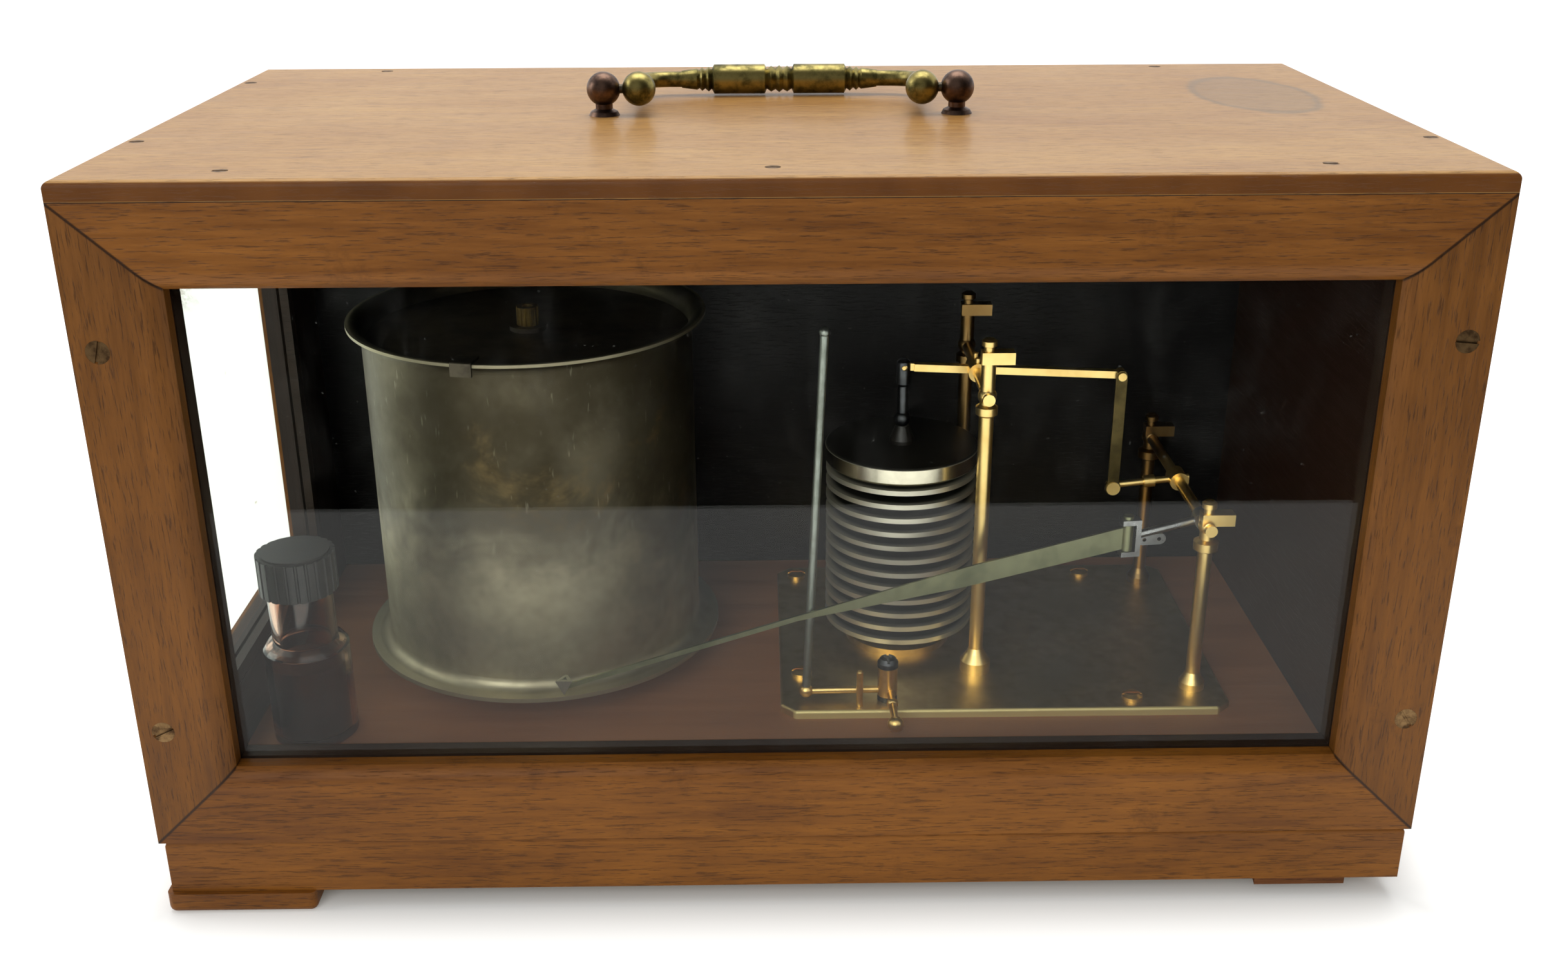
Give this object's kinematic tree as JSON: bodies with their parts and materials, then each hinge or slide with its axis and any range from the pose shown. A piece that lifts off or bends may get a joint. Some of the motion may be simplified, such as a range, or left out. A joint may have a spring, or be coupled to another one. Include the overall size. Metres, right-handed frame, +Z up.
{
  "type": "barograph",
  "caption": "Recording aneroid barometer with drum, capsule stack, brass lever works and pen under a glazed wooden cover that lifts off, with a carrying handle.",
  "frame": {"origin": "On the table plane under the middle of the case, midway between its sides and between its front and back.", "axes": "+X to the right seen from the front, -Y towards the front window, +Z up."},
  "size_m": [0.3006, 0.1616, 0.1887],
  "materials": {
    "wood_case": "polished",
    "torn_wood": "raw",
    "glass": "clear",
    "brass": "lacquered",
    "steel": "satin",
    "capsule_metal": "satin",
    "drum_metal": "satin",
    "dark_lacquer": "satin",
    "arm_metal": "satin",
    "cap_plastic": "satin"
  },
  "bodies": {
    "base": {"base_board": "wood_case", "feet": "wood_case", "foot_stub": "torn_wood", "bed_plate": "brass", "bed_screws": "brass", "lever_posts": "brass", "pen_posts": "brass", "post_cap_screws": "brass", "pivot_screws": "brass", "capsule_foot": "brass", "aneroid_capsules": "capsule_metal", "stop_pin": "brass", "lifter_stud": "brass", "drum_spindle": "steel", "sun_wheel": "brass", "drum_nut": "brass"},
    "cover": {"top_board": "wood_case", "frame_stile_left": "wood_case", "frame_stile_right": "wood_case", "frame_rail_top": "wood_case", "frame_rail_bottom": "wood_case", "front_glass": "glass", "glazing_beads": "wood_case", "side_stiles_left": "wood_case", "side_rails_left": "wood_case", "side_glass": "glass", "side_panel_right": "wood_case", "back_panel": "wood_case", "frame_screws": "brass", "top_screws": "brass", "handle_posts": "brass", "handle_nuts": "brass", "handle_pivots": "steel"},
    "handle": {"handle_bail": "brass", "handle_grip": "brass"},
    "drum": {"drum_shell": "drum_metal", "drum_flange": "drum_metal", "drum_rim": "drum_metal", "drum_lid": "dark_lacquer", "chart_clip": "steel", "drum_floor": "brass", "clock_plate_upper": "brass", "clock_pillars": "brass", "mainspring_barrel": "brass"},
    "drive_pinion_body": {"drive_pinion": "steel"},
    "lever": {"lever_arm": "brass", "lever_arbor": "brass"},
    "link_body": {"link": "brass"},
    "capsule_top": {"capsule_top_cap": "brass", "capsule_stem": "brass"},
    "pen_shaft": {"pen_arbor": "brass", "crank_arm": "brass", "pen_hub": "brass"},
    "pen": {"pen_arm": "arm_metal", "pen_nib": "arm_metal"},
    "lifter": {"lifter_hub": "brass", "lifter_arm": "brass", "lifter_rod": "steel"},
    "bottle": {"ink_bottle": "glass"},
    "bottle_cap": {"ink_cap": "cap_plastic"}
  },
  "joints": [
    {"name": "cover_lift", "type": "slide", "parent": "base", "child": "cover", "axis": [0, 0, 1], "range_m": [0, 0.17]},
    {"name": "handle_swing", "type": "hinge", "parent": "cover", "child": "handle", "pos_m": [0, -0.0046, 0.1846], "axis": [1, 0, 0], "range_deg": [0, 188]},
    {"name": "drum_spin", "type": "hinge", "parent": "base", "child": "drum", "pos_m": [-0.0682, 0.0152, 0.031], "axis": [0, 0, 1], "continuous": true},
    {"name": "pinion_spin", "type": "hinge", "parent": "drum", "child": "drive_pinion_body", "pos_m": [-0.0457, 0.0152, 0.0284], "axis": [0, 0, 1], "continuous": true},
    {"name": "lever_rock", "type": "hinge", "parent": "base", "child": "lever", "pos_m": [0.0535, 0.0145, 0.106], "axis": [0, -1, 0], "range_deg": [0, 12.4]},
    {"name": "capsule_squeeze", "type": "slide", "parent": "base", "child": "capsule_top", "axis": [0, 0, -1], "range_m": [0, 0.00432], "stiffness_N_per_m": 400, "springref_m": -0.003, "deforming": ["aneroid_capsules"]},
    {"name": "link_swing", "type": "hinge", "parent": "lever", "child": "link_body", "pos_m": [0.09316, 0.01265, 0.1042], "axis": [0, -1, 0], "range_deg": [-10.5, 0]},
    {"name": "pen_shaft_turn", "type": "hinge", "parent": "base", "child": "pen_shaft", "pos_m": [0.1115, 0.0145, 0.0732], "axis": [0, 1, 0], "range_deg": [0, 26.6]},
    {"name": "pen_gate", "type": "hinge", "parent": "pen_shaft", "child": "pen", "pos_m": [0.09115, -0.01648, 0.0691], "axis": [0, 0, 1], "range_deg": [0, 2.7]},
    {"name": "lifter_turn", "type": "hinge", "parent": "base", "child": "lifter", "pos_m": [0.0278, -0.024, 0.031], "axis": [0, 0, 1], "range_deg": [0, 10.5]},
    {"name": "ink_bottle_lift", "type": "slide", "parent": "base", "child": "bottle", "axis": [0, 0, 1], "range_m": [0, 0.03]},
    {"name": "ink_cap_lift", "type": "slide", "parent": "bottle", "child": "bottle_cap", "axis": [0, 0, 1], "range_m": [0, 0.03]}
  ],
  "couplings": [
    {"joint": "pinion_spin", "follows": "drum_spin", "ratio": 4},
    {"joint": "lever_rock", "follows": "capsule_squeeze", "rad_per_m": 50.14},
    {"joint": "link_swing", "follows": "capsule_squeeze", "rad_per_m": -42.068},
    {"joint": "pen_shaft_turn", "follows": "capsule_squeeze", "rad_per_m": 106.99},
    {"joint": "pen_gate", "follows": "lifter_turn", "ratio": 0.25}
  ]
}
